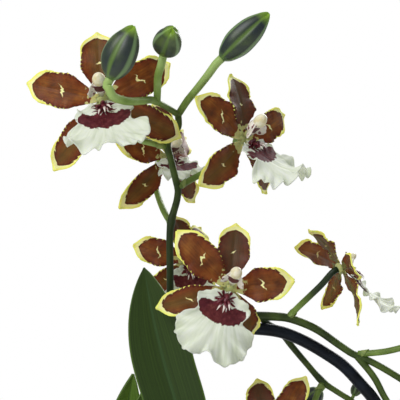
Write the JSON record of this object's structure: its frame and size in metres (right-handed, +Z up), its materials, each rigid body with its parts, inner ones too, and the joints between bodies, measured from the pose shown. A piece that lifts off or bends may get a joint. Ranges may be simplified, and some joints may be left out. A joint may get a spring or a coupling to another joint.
{
  "type": "potted orchid plant",
  "caption": "Potted colmanara orchid: pseudobulbs with strap leaves in a pot of bark, a wire hoop, and a branched arching spike of brown, yellow-edged flowers with white lips.",
  "frame": {"origin": "centre of the pot's base", "axes": "+Z up, -Y towards the side that most blooms face, +X to the right seen from there"},
  "size_m": [0.2725, 0.261, 0.5179],
  "materials": {
    "pot": "gloss glaze",
    "bark": "rough, dry",
    "hoop": "satin",
    "stem": "living stem, satin",
    "pseudobulb": "living plant, satin",
    "leaf": "living leaf, satin",
    "bud": "living bud, satin",
    "tepal": "living petal, soft sheen",
    "lip": "living petal, soft sheen",
    "column": "living petal, waxy"
  },
  "bodies": {
    "root": {"pot": "pot", "bark": "bark", "hoop": "hoop", "flower_spike": "stem", "pseudobulb_front": "pseudobulb", "pseudobulb_right": "pseudobulb", "pseudobulb_back_left": "pseudobulb", "pseudobulb_back_right": "pseudobulb", "leaf_front_tall": "leaf", "leaf_left_bright": "leaf", "leaf_left_tall": "leaf", "leaf_front_right": "leaf", "leaf_right_long": "leaf", "leaf_right_low": "leaf", "leaf_back_left": "leaf", "leaf_back_right": "leaf", "leaf_back_low": "leaf", "leaf_front_left": "leaf", "bud_1": "bud", "bud_2": "bud", "bud_3": "bud", "bud_4": "bud", "bud_5": "bud", "bud_6": "bud", "bud_7": "bud", "bud_8": "bud", "bud_9": "bud", "bloom_a_tepals": "tepal", "bloom_a_lip": "lip", "bloom_a_column": "column", "bloom_b_tepals": "tepal", "bloom_b_lip": "lip", "bloom_b_column": "column", "bloom_c_tepals": "tepal", "bloom_c_lip": "lip", "bloom_c_column": "column", "bloom_d_tepals": "tepal", "bloom_d_lip": "lip", "bloom_d_column": "column", "bloom_e_tepals": "tepal", "bloom_e_lip": "lip", "bloom_e_column": "column", "bloom_f_tepals": "tepal", "bloom_f_lip": "lip", "bloom_f_column": "column", "bloom_g_tepals": "tepal", "bloom_g_lip": "lip", "bloom_g_column": "column", "bloom_h_tepals": "tepal", "bloom_h_lip": "lip", "bloom_h_column": "column"}
  },
  "joints": []
}
